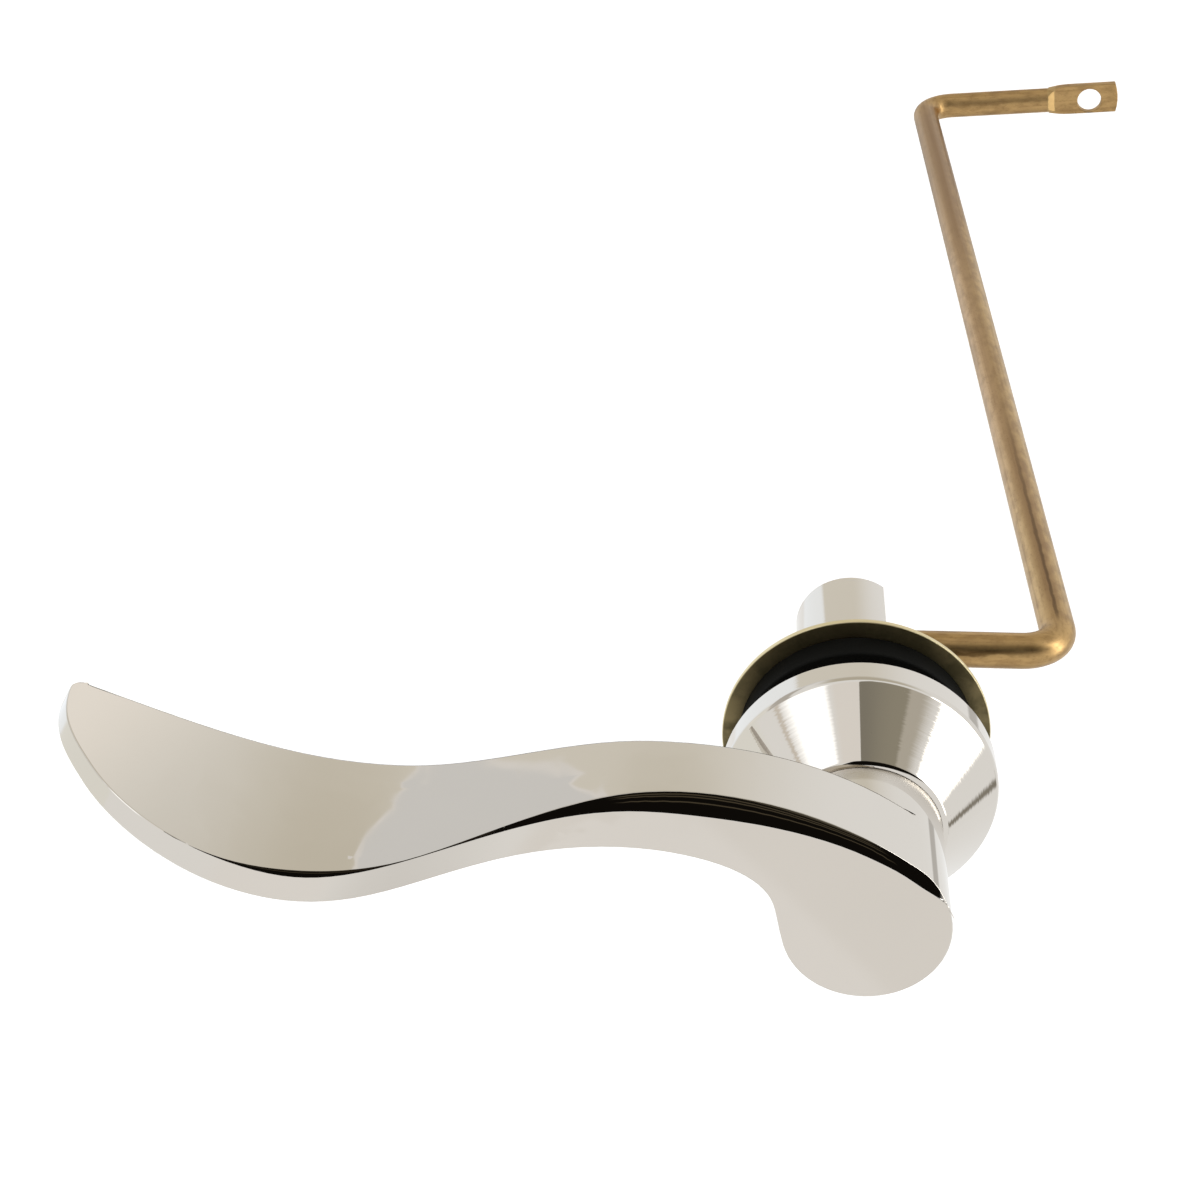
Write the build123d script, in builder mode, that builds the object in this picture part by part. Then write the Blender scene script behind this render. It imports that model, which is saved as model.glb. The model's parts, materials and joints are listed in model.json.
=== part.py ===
# Side-mount cistern lever: a wave-shaped handle on a spindle that turns in a threaded
# shank through the tank's side wall, with a bent brass rod behind it that lifts the chain.
# X runs from the blade towards the rod, Y along the spindle into the tank, and Z is up.
# The origin is on the spindle axis, where the escutcheon's rim meets the tank wall.
import os
from math import cos, radians, sin, sqrt

from build123d import *

# Driving dimensions, in millimetres and degrees.
# "Ahead" is a distance in front of the tank wall (towards -Y), "behind" is into the tank.

# Handle
hub_diameter = 25.4
hub_front_ahead = 39.3
lever_back_ahead = 24.0
crest_reach = 32.6
crest_height = 22.8
dip_reach = 70.0
dip_height = 17.1
tip_reach = 119.2
tip_height = 31.3
tip_slope = 21.6
tip_thickness = 3.2
blade_thickness = 5.6
root_reach = 49.5
root_under_height = 14.0
armpit_reach = 14.2
armpit_height = 4.9
hub_top_angle = 51.5
hub_side_angle = 195.0

# Handle's outline from above, drawn square to the raked tip
outline_rake = 29.0
flare_reach = 31.9
belly_reach = 86.9
belly_bulge = 14.4
shoulder_reach = 112.1
shoulder_ahead = 42.5
shoulder_slope = 50.0
outline_tip_reach = 119.2
tip_corner_radius = 2.4

# Facet along the handle's front top edge
facet_width = 2.5
waist_facet_width = 0.12
blade_facet_width = 0.75
hub_facet_width = 1.55
facet_end_angle = 24.0
facet_sections = 18

# Escutcheon
rim_diameter = 44.45
rim_band = 4.8
cone_front_ahead = 14.95
cone_front_diameter = 27.1
escutcheon_wall = 2.2
web_thickness = 3.0
neck_gap = 0.25
neck_in_cone = 4.4

# Turning stop between the neck and the escutcheon's web
lever_travel = 30.0
stop_angle = 90.0
stop_width_angle = 24.0
stop_inner_radius = 10.2
stop_outer_radius = 12.2
stop_depth = 2.0
stop_gap = 0.4

# Shank, washers and nut
shank_diameter = 15.0
shank_end_behind = 26.0
nose_diameter = 14.0
shoulder_diameter = 19.0
shoulder_thickness = 2.5
collar_side = 15.3
collar_behind = 4.5
collar_corner_radius = 2.0
wall_gap = 7.0
rubber_diameter = 38.8
rubber_thickness = 5.0
brass_washer_diameter = 44.4
brass_washer_thickness = 1.0
nut_across_flats = 22.2
nut_thickness = 7.0
nut_corner_chamfer = 1.0
washer_clearance = 0.4
thread_clearance = 0.1

# Spindle and thrust washers
spindle_diameter = 9.525
spindle_in_hub = 21.8
spindle_in_socket = 7.4
spindle_flat_depth = 0.6
running_clearance = 0.05
slip_clearance = 0.03
thrust_washer_thickness = 1.0
thrust_washer_diameter = 17.0
end_float = 0.15

# Arm socket and rod
socket_diameter = 19.05
socket_end_behind = 47.9
socket_flat_from_axis = 5.6
socket_flat_length = 15.0
rod_diameter = 6.35
rod_behind = 39.9
rod_seat_depth = 5.0
rod_bend_reach = 37.0
rod_bend_radius = 7.0
rod_lean = 1.9
rod_length = 278.2
end_leg_turn = -3.0
end_leg_rise = 5.2
end_leg_length = 33.5
flat_length = 17.8
flat_height = 7.8
flat_thickness = 2.2
flat_ramp = 1.6
flat_step = 0.7
flat_shoulder = 5.6
flat_end_bow = 0.6
chain_hole_diameter = 6.35
chain_hole_to_end = 6.9
chain_hole_drop = 0.4

# Set screws
handle_screw_diameter = 5.0
socket_screw_diameter = 4.0
screw_recess = 0.8
screw_key_share = 0.55
screw_key_depth = 2.2
handle_screw_ahead = 28.5

# Sizes worked out from the driving dimensions
hub_radius = hub_diameter / 2
rim_radius = rim_diameter / 2
shank_radius = shank_diameter / 2
spindle_radius = spindle_diameter / 2
rod_radius = rod_diameter / 2
socket_radius = socket_diameter / 2
cone_front_radius = cone_front_diameter / 2
neck_bore_radius = hub_radius + neck_gap
thrust_stack = thrust_washer_thickness + end_float
web_front_ahead = cone_front_ahead - neck_in_cone
web_back_ahead = web_front_ahead - web_thickness
neck_end_ahead = web_front_ahead + thrust_stack
spindle_front_ahead = neck_end_ahead + spindle_in_hub
rubber_behind = wall_gap
brass_washer_behind = rubber_behind + rubber_thickness
nut_behind = brass_washer_behind + brass_washer_thickness
socket_front_behind = shank_end_behind + thrust_stack
spindle_end_behind = socket_front_behind + spindle_in_socket
flat_face_radius = spindle_radius - spindle_flat_depth
socket_screw_behind = socket_front_behind + spindle_in_socket / 2

os.makedirs("parts", exist_ok=True)


def save(piece, name):
    """Labels a finished piece and writes it to its own file."""
    piece.part.label = name
    export_step(piece.part, f"parts/{name}.step")


def ahead(distance):
    """Plane across the spindle axis in front of the tank wall, facing the front."""
    return Plane.XZ.offset(distance)


def behind(distance):
    """Plane across the spindle axis inside the tank, facing the back."""
    return Plane((0, distance, 0), x_dir=(-1, 0, 0), z_dir=(0, 1, 0))


def on_hub(angle):
    """Point on the hub's circle, seen from the front."""
    return (hub_radius * cos(radians(angle)), hub_radius * sin(radians(angle)))


def round_tangent(angle):
    """Direction along the hub's circle, turning anticlockwise."""
    return (-sin(radians(angle)), cos(radians(angle)))


def ring_sector(inner, outer, start, size):
    """Part of a flat ring between two angles."""
    with BuildSketch() as sector:
        with BuildLine():
            outside = CenterArc((0, 0), outer, start, size)
            inside = CenterArc((0, 0), inner, start, size)
            Line(outside @ 0, inside @ 0)
            Line(outside @ 1, inside @ 1)
        make_face()
    return sector.sketch


def washer(outer, hole, thickness, plane):
    """Flat washer on the spindle axis."""
    with BuildPart() as ring:
        with BuildSketch(plane):
            Circle(outer)
            Circle(hole, mode=Mode.SUBTRACT)
        extrude(amount=thickness)
    return ring


def set_screw(diameter, length, plane):
    """Headless screw with a hexagon key hole, from its tip to its outer end."""
    with BuildPart() as screw:
        with BuildSketch(plane):
            Circle(diameter / 2)
        extrude(amount=length)
        with BuildSketch(plane.offset(length - screw_key_depth)):
            RegularPolygon(diameter / 2 * screw_key_share, 6)
        extrude(amount=screw_key_depth, mode=Mode.SUBTRACT)
    return screw


# Handle: the side profile and the raked outline cross to give the lever
rake_cos = cos(radians(outline_rake))
rake_sin = sin(radians(outline_rake))
outline_plane = Plane((0, 0, 0), x_dir=(rake_cos, 0, -rake_sin), z_dir=(rake_sin, 0, rake_cos))
slope_cos = cos(radians(tip_slope))
slope_sin = sin(radians(tip_slope))
spare = hub_radius / 2
profile_tip = Vector(-tip_reach - spare, tip_height + spare * slope_sin / slope_cos)
profile_under_tip = profile_tip - Vector(slope_sin, slope_cos) * tip_thickness

with BuildSketch() as side:
    with BuildLine():
        top_line = Spline(
            on_hub(hub_top_angle),
            (-crest_reach, crest_height),
            (-dip_reach, dip_height),
            profile_tip,
            tangents=(round_tangent(hub_top_angle), (-1, 0), (-1, 0), (-slope_cos, slope_sin)),
        )
        under_line = Spline(
            profile_under_tip,
            (-dip_reach, dip_height - blade_thickness),
            (-root_reach, root_under_height),
            (-armpit_reach, armpit_height),
            on_hub(hub_side_angle),
            tangents=((slope_cos, -slope_sin), round_tangent(hub_side_angle)),
        )
        Line(top_line @ 1, under_line @ 0)
        Line(under_line @ 1, (0, 0))
        Line((0, 0), top_line @ 0)
    make_face()
    Circle(hub_radius)

outline_hub_end = 2 * hub_diameter
shoulder_turn = (-cos(radians(shoulder_slope)), sin(radians(shoulder_slope)))
with BuildSketch() as outline:
    with BuildLine():
        front_line = Spline(
            (-flare_reach, -hub_front_ahead),
            (-belly_reach, -hub_front_ahead - belly_bulge),
            (-shoulder_reach, -shoulder_ahead),
            (-outline_tip_reach, -lever_back_ahead - tip_corner_radius),
            tangents=((-1, 0), (-1, 0), shoulder_turn, (0, 1)),
        )
        tip_corner = TangentArc(
            front_line @ 1,
            (-outline_tip_reach + tip_corner_radius, -lever_back_ahead),
            tangent=(0, 1),
        )
        Polyline(
            tip_corner @ 1,
            (outline_hub_end, -lever_back_ahead),
            (outline_hub_end, -hub_front_ahead),
            front_line @ 0,
        )
    make_face()


def front_depth(x, z):
    """Y of the outline's front edge where it crosses a point of the profile."""
    reach = x * rake_cos - z * rake_sin
    if reach > -flare_reach:
        return -hub_front_ahead
    low, high = 0.0, 1.0
    for _ in range(40):
        middle = (low + high) / 2
        if (front_line @ middle).X > reach:
            low = middle
        else:
            high = middle
    return (front_line @ low).Y


def facet_plane(x, z, direction_x, direction_z):
    """Plane across the lever's front top edge, looking towards the hub."""
    return Plane((x, front_depth(x, z), z), x_dir=(0, 1, 0), z_dir=(-direction_x, 0, -direction_z))


# Shares of the top line from the hub, with the facet's width there
facet_keys = (
    (0.0, hub_facet_width),
    (0.24, facet_width),
    (0.55, waist_facet_width),
    (0.655, blade_facet_width),
    (0.78, 0.0),
)


def facet_width_at(share):
    """Facet width between two keys, easing in and out."""
    for (start, start_width), (end, end_width) in zip(facet_keys, facet_keys[1:]):
        if start <= share <= end:
            part = (share - start) / (end - start)
            return start_width + (end_width - start_width) * part**2 * (3 - 2 * part)


facet_stations = []
last_share = facet_keys[-1][0]
for number in range(facet_sections):
    share = last_share * (1 - number / facet_sections)
    spot = top_line @ share
    along = top_line % share
    facet_stations.append((facet_plane(spot.X, spot.Y, along.X, along.Y), facet_width_at(share)))
hub_steps = 5
for number in range(hub_steps):
    part = 1 - number / (hub_steps - 1)
    angle = facet_end_angle + (hub_top_angle - facet_end_angle) * part
    plane = facet_plane(*on_hub(angle), *round_tangent(angle))
    facet_stations.append((plane, hub_facet_width * sin(radians(90 * part))))

with BuildPart() as handle:
    with BuildSketch(ahead(lever_back_ahead)):
        add(side.sketch)
    extrude(amount=hub_front_ahead - lever_back_ahead + 2 * belly_bulge)
    with BuildSketch(outline_plane):
        add(outline.sketch)
    extrude(amount=2 * tip_reach, both=True, mode=Mode.INTERSECT)
    for plane, width in facet_stations:
        far = width + facet_width
        with BuildSketch(plane):
            with BuildLine():
                Polyline((far, facet_width), (-facet_width, -far), (-facet_width, facet_width), close=True)
            make_face()
    loft(mode=Mode.SUBTRACT)
    with BuildSketch(ahead(neck_end_ahead)):
        Circle(hub_radius)
    extrude(amount=lever_back_ahead - neck_end_ahead)
    with BuildSketch(ahead(web_front_ahead - stop_depth)):
        add(
            ring_sector(
                stop_inner_radius,
                stop_outer_radius,
                stop_angle - stop_width_angle / 2,
                stop_width_angle,
            )
        )
    extrude(amount=stop_depth + thrust_stack)
    with BuildSketch(ahead(neck_end_ahead)):
        Circle(spindle_radius + slip_clearance)
    extrude(amount=spindle_in_hub + slip_clearance, mode=Mode.SUBTRACT)
    with BuildSketch(Plane((0, -handle_screw_ahead, 0), x_dir=(1, 0, 0), z_dir=(0, 0, -1))):
        Circle(handle_screw_diameter / 2 + slip_clearance)
    extrude(amount=hub_diameter, mode=Mode.SUBTRACT)
save(handle, "handle")

handle_set_screw = set_screw(
    handle_screw_diameter,
    hub_radius - flat_face_radius - screw_recess,
    Plane((0, -handle_screw_ahead, -flat_face_radius), x_dir=(1, 0, 0), z_dir=(0, 0, -1)),
)
save(handle_set_screw, "handle_set_screw")

# Escutcheon: a turned cone, hollow behind, with a web that the shank is fixed to
cone_slope = (rim_radius - cone_front_radius) / (cone_front_ahead - rim_band)
cone_wall = escutcheon_wall * sqrt(1 + cone_slope**2)
hollow_radius = rim_radius - escutcheon_wall
hollow_front_radius = cone_front_radius + cone_slope * (cone_front_ahead - web_back_ahead) - cone_wall

with BuildPart() as escutcheon:
    with BuildSketch(Plane.XY):
        with BuildLine():
            Polyline(
                (rim_radius, 0),
                (rim_radius, -rim_band),
                (cone_front_radius, -cone_front_ahead),
                (neck_bore_radius, -cone_front_ahead),
                (neck_bore_radius, -web_front_ahead),
                (nose_diameter / 2 + thread_clearance, -web_front_ahead),
                (nose_diameter / 2 + thread_clearance, -web_back_ahead),
                (hollow_front_radius, -web_back_ahead),
                (hollow_radius, -rim_band),
                (hollow_radius, 0),
                close=True,
            )
        make_face()
    revolve(axis=Axis.Y)
    stop_end_angle = lever_travel + stop_width_angle
    with BuildSketch(ahead(web_back_ahead)):
        add(
            ring_sector(
                stop_inner_radius - stop_gap,
                stop_outer_radius + stop_gap,
                stop_angle - stop_width_angle / 2 - 2,
                stop_end_angle + 4,
            )
        )
    extrude(amount=web_thickness, mode=Mode.SUBTRACT)
save(escutcheon, "escutcheon")

# Shank: nose in the escutcheon's web, shoulder behind it, square collar, threaded length
with BuildPart() as threaded_shank:
    with BuildSketch(ahead(web_back_ahead)):
        Circle(nose_diameter / 2)
    extrude(amount=web_thickness)
    with BuildSketch(ahead(web_back_ahead - shoulder_thickness)):
        Circle(shoulder_diameter / 2)
    extrude(amount=shoulder_thickness)
    with BuildSketch(behind(collar_behind)):
        RectangleRounded(collar_side, collar_side, collar_corner_radius)
    extrude(amount=-(collar_behind + web_back_ahead - shoulder_thickness))
    with BuildSketch(behind(collar_behind)):
        Circle(shank_radius)
    extrude(amount=shank_end_behind - collar_behind)
    with BuildSketch(ahead(web_front_ahead)):
        Circle(spindle_radius + running_clearance)
    extrude(amount=-(web_front_ahead + shank_end_behind), mode=Mode.SUBTRACT)
save(threaded_shank, "threaded_shank")

rubber_washer = washer(
    rubber_diameter / 2, shank_radius + washer_clearance, rubber_thickness, behind(rubber_behind)
)
save(rubber_washer, "rubber_washer")

brass_washer = washer(
    brass_washer_diameter / 2,
    shank_radius + washer_clearance,
    brass_washer_thickness,
    behind(brass_washer_behind),
)
save(brass_washer, "brass_washer")

# Lock nut: a hexagon with its corners turned off on both faces
nut_corner_radius = nut_across_flats / sqrt(3)
with BuildPart() as lock_nut:
    with BuildSketch(behind(nut_behind)):
        RegularPolygon(nut_corner_radius, 6)
    extrude(amount=nut_thickness)
    with BuildSketch(Plane.XY):
        with BuildLine():
            Polyline(
                (0, nut_behind),
                (nut_corner_radius - nut_corner_chamfer, nut_behind),
                (nut_corner_radius, nut_behind + nut_corner_chamfer / sqrt(3)),
                (nut_corner_radius, nut_behind + nut_thickness - nut_corner_chamfer / sqrt(3)),
                (nut_corner_radius - nut_corner_chamfer, nut_behind + nut_thickness),
                (0, nut_behind + nut_thickness),
                close=True,
            )
        make_face()
    revolve(axis=Axis.Y, mode=Mode.INTERSECT)
    with BuildSketch(behind(nut_behind)):
        Circle(shank_radius + thread_clearance)
    extrude(amount=nut_thickness, mode=Mode.SUBTRACT)
save(lock_nut, "lock_nut")

# Thrust washers at both ends of the shank
neck_washer = washer(
    thrust_washer_diameter / 2,
    spindle_radius + running_clearance,
    thrust_washer_thickness,
    ahead(web_front_ahead),
)
save(neck_washer, "neck_washer")

end_washer = washer(
    thrust_washer_diameter / 2,
    spindle_radius + running_clearance,
    thrust_washer_thickness,
    behind(shank_end_behind),
)
save(end_washer, "end_washer")

# Spindle: flats under both set screws
with BuildPart() as spindle:
    with BuildSketch(ahead(spindle_front_ahead)):
        Circle(spindle_radius)
    extrude(amount=-(spindle_front_ahead + spindle_end_behind))
    flat_runs = (
        (-spindle_front_ahead, -handle_screw_ahead + handle_screw_diameter),
        (socket_screw_behind - socket_screw_diameter / 2, spindle_end_behind),
    )
    for flat_start, flat_end in flat_runs:
        with BuildSketch(Plane((0, flat_start, 0), x_dir=(1, 0, 0), z_dir=(0, 1, 0))):
            with Locations((0, flat_face_radius + spindle_radius)):
                Rectangle(spindle_diameter, spindle_diameter)
        extrude(amount=flat_end - flat_start, mode=Mode.SUBTRACT)
save(spindle, "spindle")

# Arm socket: bore for the spindle, flat and cross hole for the rod, two screw holes
with BuildPart() as arm_socket:
    with BuildSketch(behind(socket_front_behind)):
        Circle(socket_radius)
    extrude(amount=socket_end_behind - socket_front_behind)
    with BuildSketch(behind(socket_end_behind - socket_flat_length)):
        with Locations((-socket_flat_from_axis - socket_radius, 0)):
            Rectangle(socket_diameter, 2 * socket_diameter)
    extrude(amount=socket_flat_length, mode=Mode.SUBTRACT)
    with BuildSketch(behind(socket_front_behind)):
        Circle(spindle_radius + slip_clearance)
    extrude(amount=spindle_in_socket + slip_clearance, mode=Mode.SUBTRACT)
    with BuildSketch(Plane((-rod_seat_depth - slip_clearance, rod_behind, 0), z_dir=(1, 0, 0))):
        Circle(rod_radius + slip_clearance)
    extrude(amount=socket_diameter, mode=Mode.SUBTRACT)
    with BuildSketch(Plane((0, socket_screw_behind, 0), x_dir=(1, 0, 0), z_dir=(0, 0, -1))):
        Circle(socket_screw_diameter / 2 + slip_clearance)
    extrude(amount=socket_diameter, mode=Mode.SUBTRACT)
    with BuildSketch(behind(rod_behind)):
        Circle(socket_screw_diameter / 2 + slip_clearance)
    extrude(amount=socket_end_behind - rod_behind, mode=Mode.SUBTRACT)
save(arm_socket, "arm_socket")

socket_set_screw = set_screw(
    socket_screw_diameter,
    socket_radius - flat_face_radius - screw_recess,
    Plane((0, socket_screw_behind, -flat_face_radius), x_dir=(1, 0, 0), z_dir=(0, 0, -1)),
)
save(socket_set_screw, "socket_set_screw")

rod_back_behind = rod_behind + rod_radius
arm_set_screw = set_screw(
    socket_screw_diameter,
    socket_end_behind - rod_back_behind - screw_recess,
    behind(rod_back_behind),
)
save(arm_set_screw, "arm_set_screw")

# Arm rod: bent in a Z, its end hammered flat and drilled for the chain
far_bend = Vector(
    rod_bend_reach - rod_length * sin(radians(rod_lean)),
    rod_behind + rod_length * cos(radians(rod_lean)),
    0,
)
end_direction = Vector(1, 0, 0).rotate(Axis.Y, -end_leg_rise).rotate(Axis.Z, end_leg_turn)
round_end = far_bend + end_direction * end_leg_length
flat_plane = Plane(round_end, x_dir=end_direction, z_dir=end_direction.cross(Vector(0, 0, 1)))

with BuildPart() as arm_rod:
    with BuildLine() as rod_path:
        FilletPolyline(
            (-rod_seat_depth, rod_behind, 0),
            (rod_bend_reach, rod_behind, 0),
            far_bend,
            round_end,
            radius=rod_bend_radius,
        )
    with BuildSketch(Plane((-rod_seat_depth, rod_behind, 0), z_dir=(1, 0, 0))):
        Circle(rod_radius)
    sweep(path=rod_path.wires()[0])
    with BuildSketch(Plane(round_end, x_dir=(0, 0, 1), z_dir=end_direction)):
        Circle(rod_radius)
    extrude(amount=flat_ramp)
    with BuildSketch(Plane(round_end, x_dir=end_direction, z_dir=flat_plane.y_dir)):
        for side_sign in (1, -1):
            with BuildLine():
                Polyline(
                    (0, side_sign * (rod_radius - flat_step)),
                    (flat_ramp, side_sign * flat_thickness / 2),
                    (2 * flat_ramp, side_sign * flat_thickness / 2),
                    (2 * flat_ramp, side_sign * rod_diameter),
                    (0, side_sign * rod_diameter),
                    close=True,
                )
            make_face()
    extrude(amount=rod_diameter, both=True, mode=Mode.SUBTRACT)
    with BuildSketch(flat_plane):
        with BuildLine():
            half = flat_height / 2
            upper = Spline((0, rod_radius), (flat_shoulder, half), tangents=((1, 0.2), (1, 0)))
            lower = Spline((0, -rod_radius), (flat_shoulder, -half), tangents=((1, -0.2), (1, 0)))
            Line(lower @ 0, upper @ 0)
            Line(upper @ 1, (flat_length, half))
            Line(lower @ 1, (flat_length, -half))
            ThreePointArc((flat_length, half), (flat_length + flat_end_bow, 0), (flat_length, -half))
        make_face()
        with Locations((flat_length - chain_hole_to_end, -chain_hole_drop)):
            Circle(chain_hole_diameter / 2, mode=Mode.SUBTRACT)
    extrude(amount=flat_thickness / 2, both=True)
save(arm_rod, "arm_rod")
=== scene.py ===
import json
import math

import bmesh
import bpy
from mathutils import Matrix, Vector
from mathutils.bvhtree import BVHTree
from mathutils.geometry import intersect_point_line
from mathutils.interpolate import poly_3d_calc


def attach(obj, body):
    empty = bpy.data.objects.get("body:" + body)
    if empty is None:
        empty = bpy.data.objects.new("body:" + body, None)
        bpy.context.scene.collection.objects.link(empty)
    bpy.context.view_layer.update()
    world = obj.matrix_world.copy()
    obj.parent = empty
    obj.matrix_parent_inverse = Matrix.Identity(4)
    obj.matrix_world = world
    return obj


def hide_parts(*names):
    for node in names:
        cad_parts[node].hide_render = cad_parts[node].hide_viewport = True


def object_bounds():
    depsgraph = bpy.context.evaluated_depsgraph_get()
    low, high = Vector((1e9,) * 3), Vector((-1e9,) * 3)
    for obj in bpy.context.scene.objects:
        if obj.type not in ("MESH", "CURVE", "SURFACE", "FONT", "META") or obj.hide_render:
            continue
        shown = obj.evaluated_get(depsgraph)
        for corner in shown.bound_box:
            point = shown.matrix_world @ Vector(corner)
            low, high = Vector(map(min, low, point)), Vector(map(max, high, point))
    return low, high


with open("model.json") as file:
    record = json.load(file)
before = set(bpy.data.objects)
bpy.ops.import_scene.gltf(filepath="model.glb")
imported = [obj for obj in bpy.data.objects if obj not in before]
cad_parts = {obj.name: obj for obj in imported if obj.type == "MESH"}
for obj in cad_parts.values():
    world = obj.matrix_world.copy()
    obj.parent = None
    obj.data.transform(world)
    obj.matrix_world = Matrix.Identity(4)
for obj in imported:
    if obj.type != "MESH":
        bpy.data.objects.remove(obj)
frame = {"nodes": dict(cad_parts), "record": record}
cadLow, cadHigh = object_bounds()
print("frame loaded:", len(frame["nodes"]), "nodes")


# Node helpers

def feed(tree, node, key, value):
    socket = node.inputs[key]
    if isinstance(value, bpy.types.NodeSocket):
        tree.links.new(value, socket)
    elif hasattr(socket.default_value, "__len__") and len(value) == 3 and len(socket.default_value) == 4:
        socket.default_value = (*value, 1.0)
    else:
        socket.default_value = value


def addNode(tree, kind, settings=None, inputs=None):
    node = tree.nodes.new(kind)
    for key, value in (settings or {}).items():
        setattr(node, key, value)
    for key, value in (inputs or {}).items():
        feed(tree, node, key, value)
    return node


def sums(tree, operation, first, second=0.0):
    node = addNode(tree, "ShaderNodeMath", {"operation": operation}, {0: first, 1: second})
    return node.outputs[0]


def times(tree, first, *others):  # product of several values
    for other in others:
        first = sums(tree, "MULTIPLY", first, other)
    return first


def rise(tree, value, low, high, start=0.0, end=1.0):  # eased step from start to end
    node = addNode(tree, "ShaderNodeMapRange", {"interpolation_type": "SMOOTHSTEP"},
                   {"Value": value, "From Min": low, "From Max": high, "To Min": start, "To Max": end})
    return node.outputs["Result"]


def window(tree, value, span, opening, closing):  # 1 inside the span, eased at both ends
    start, end = span
    inside = rise(tree, value, start - opening, start + opening)
    return times(tree, inside, rise(tree, value, end - closing, end + closing, 1, 0))


def blendColour(tree, amount, first, second):
    node = addNode(tree, "ShaderNodeMix", {"data_type": "RGBA"}, {0: amount, 6: first, 7: second})
    return node.outputs[2]


def splitParts(tree, vector):
    return addNode(tree, "ShaderNodeSeparateXYZ", None, {0: vector}).outputs


def finishTree(tree, kind, shader):  # links a shader to a new output node
    out = addNode(tree, kind)
    tree.links.new(shader.outputs[0], out.inputs["Surface"])


# Studio: white room with soft boxes, a dark front and a beige back wall.
# Turns and lifts are in degrees; edge, fade, low and soft are the half widths of eased borders;
# across, back and corner are parts of a direction of length 1

studio = {
    "white": (1.0, 1.01, 1.01),
    "underside": {"lift": (-75, -52), "glow": (0.7, 0.69, 0.67)},
    "leftGlow": {"turn": (-152, -122), "lift": (-26, 24), "edge": 1.2, "fade": 4,
                 "glow": (1.1, 1.16, 1.22)},
    "leftSide": {"turn": (-122, -76.5), "lift": (-26, 24), "edge": 4, "fade": 1.2,
                 "glow": (0.98, 0.99, 0.95)},
    "leftDark": {"turn": (-135, -74), "lift": (25, 42), "edge": 2, "glow": (0.6, 0.58, 0.54)},
    "leftBox": {"turn": (-67, -43), "lift": (26, 62), "edge": 3, "glow": (1.7, 1.75, 1.8)},
    "boxFrame": {"turn": (-70.5, -68.8), "lift": (22, 64), "edge": 0.5, "glow": (0.78, 0.73, 0.66)},
    "rightBox": {"turn": (72, 86), "lift": (-19, 41), "edge": 2, "glow": (5.6, 5.6, 5.4)},
    "haze": {"turn": (-38, -2), "lift": (50, 75), "edge": 4, "glow": (0.97, 0.95, 0.92)},
    "halfDark": {"turn": (54, 66.5), "lift": (14, 76), "edge": 1.5, "fade": 4, "glow": (0.58, 0.55, 0.48)},
    "olive": {"turn": (-2.5, 55.5), "lift": (14, 86), "edge": 0.8, "fade": 1.6,
              "glow": (0.28, 0.262, 0.215), "far": (0.36, 0.335, 0.265), "farTurn": (0, 55),
              "cornerPlace": (0.25, -0.34), "corner": 0.28, "cornerSoft": 0.01},
    "black": {"turn": (-16, 69), "turnSoft": (1, 2), "lift": 14, "liftSoft": 2,
              "top": 61.5, "topSoft": 1.5, "droop": 0.0078, "glow": (0.006, 0.005, 0.004)},
    "gleam": {"under": (1.6, 4.4, 6.6, 11.5), "half": (0.2, 0.75), "turn": (9, 54), "turnSoft": 2,
              "glow": (0.085, 0.07, 0.045)},
    "streak": {"turn": (97.5, 100.5), "lift": (-36, -20), "edge": 1, "glow": (0.3, 0.28, 0.24)},
    "hubShade": {"turn": (30, 42), "lift": (-16.5, -9), "edge": 1.2, "glow": (0.6, 0.59, 0.57)},
    "ceiling": {"across": (-0.4, 0.8), "soft": 0.15, "back": (0.06, 0.2), "lift": (37, 62),
                "glow": (0.6, 0.565, 0.47)},
    "lowBack": {"turn": (-14, 18), "lift": (-24, -3), "edge": 1.5, "glow": (0.24, 0.25, 0.27)},
    "wall": {"turn": (-27.8, 17), "lift": (4, 72), "edge": 0.6, "fade": 15, "low": 5,
             "glow": (0.73, 0.695, 0.6), "foot": (0.845, 0.82, 0.745), "footLift": (32.5, 38.5)},
    "pane": {"slant": -71.9, "lean": 1.75, "soft": 0.12, "lift": (24, 40), "liftSoft": (2, 1),
             "reach": (-60, -40), "notch": 0.8, "notchTurn": (-19.6, -17, -15, -12.5),
             "glow": (0.82, 0.83, 0.835), "border": (0.93, 0.92, 0.905), "borderWidth": 0.4},
    "front": {"lift": (-60, -50, -30, -20), "turn": (20, 30), "glow": (1.0, 0.995, 0.985),
              "strip": (0.955, 0.945, 0.925), "stripLean": 0.667, "stripLift": -36.6, "stripSoft": 0.3},
}


def card(tree, turn, lift, spec):  # soft-edged patch between two turns and two lifts
    edge = spec["edge"]
    across = window(tree, turn, spec["turn"], edge, spec.get("fade", edge))
    return times(tree, across, window(tree, lift, spec["lift"], spec.get("low", edge), edge))


def paneMask(tree, way, spare):  # everything left of a slanted and notched edge, spare degrees wider
    pane = studio["pane"]
    behind, lift = way["behind"], way["lift"]
    first, full, last, end = pane["notchTurn"]
    notch = times(tree, rise(tree, behind, first, full, 0, pane["notch"]),
                  rise(tree, behind, last, end, 1, 0))
    slant = sums(tree, "SUBTRACT", behind, sums(tree, "MULTIPLY", lift, pane["lean"]))
    slant = sums(tree, "ADD", slant, notch)
    edge = pane["slant"] + spare
    mask = rise(tree, slant, edge - pane["soft"], edge + pane["soft"], 1, 0)
    mask = times(tree, mask, window(tree, lift, pane["lift"], *pane["liftSoft"]))
    return times(tree, mask, rise(tree, behind, *pane["reach"]))


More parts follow.
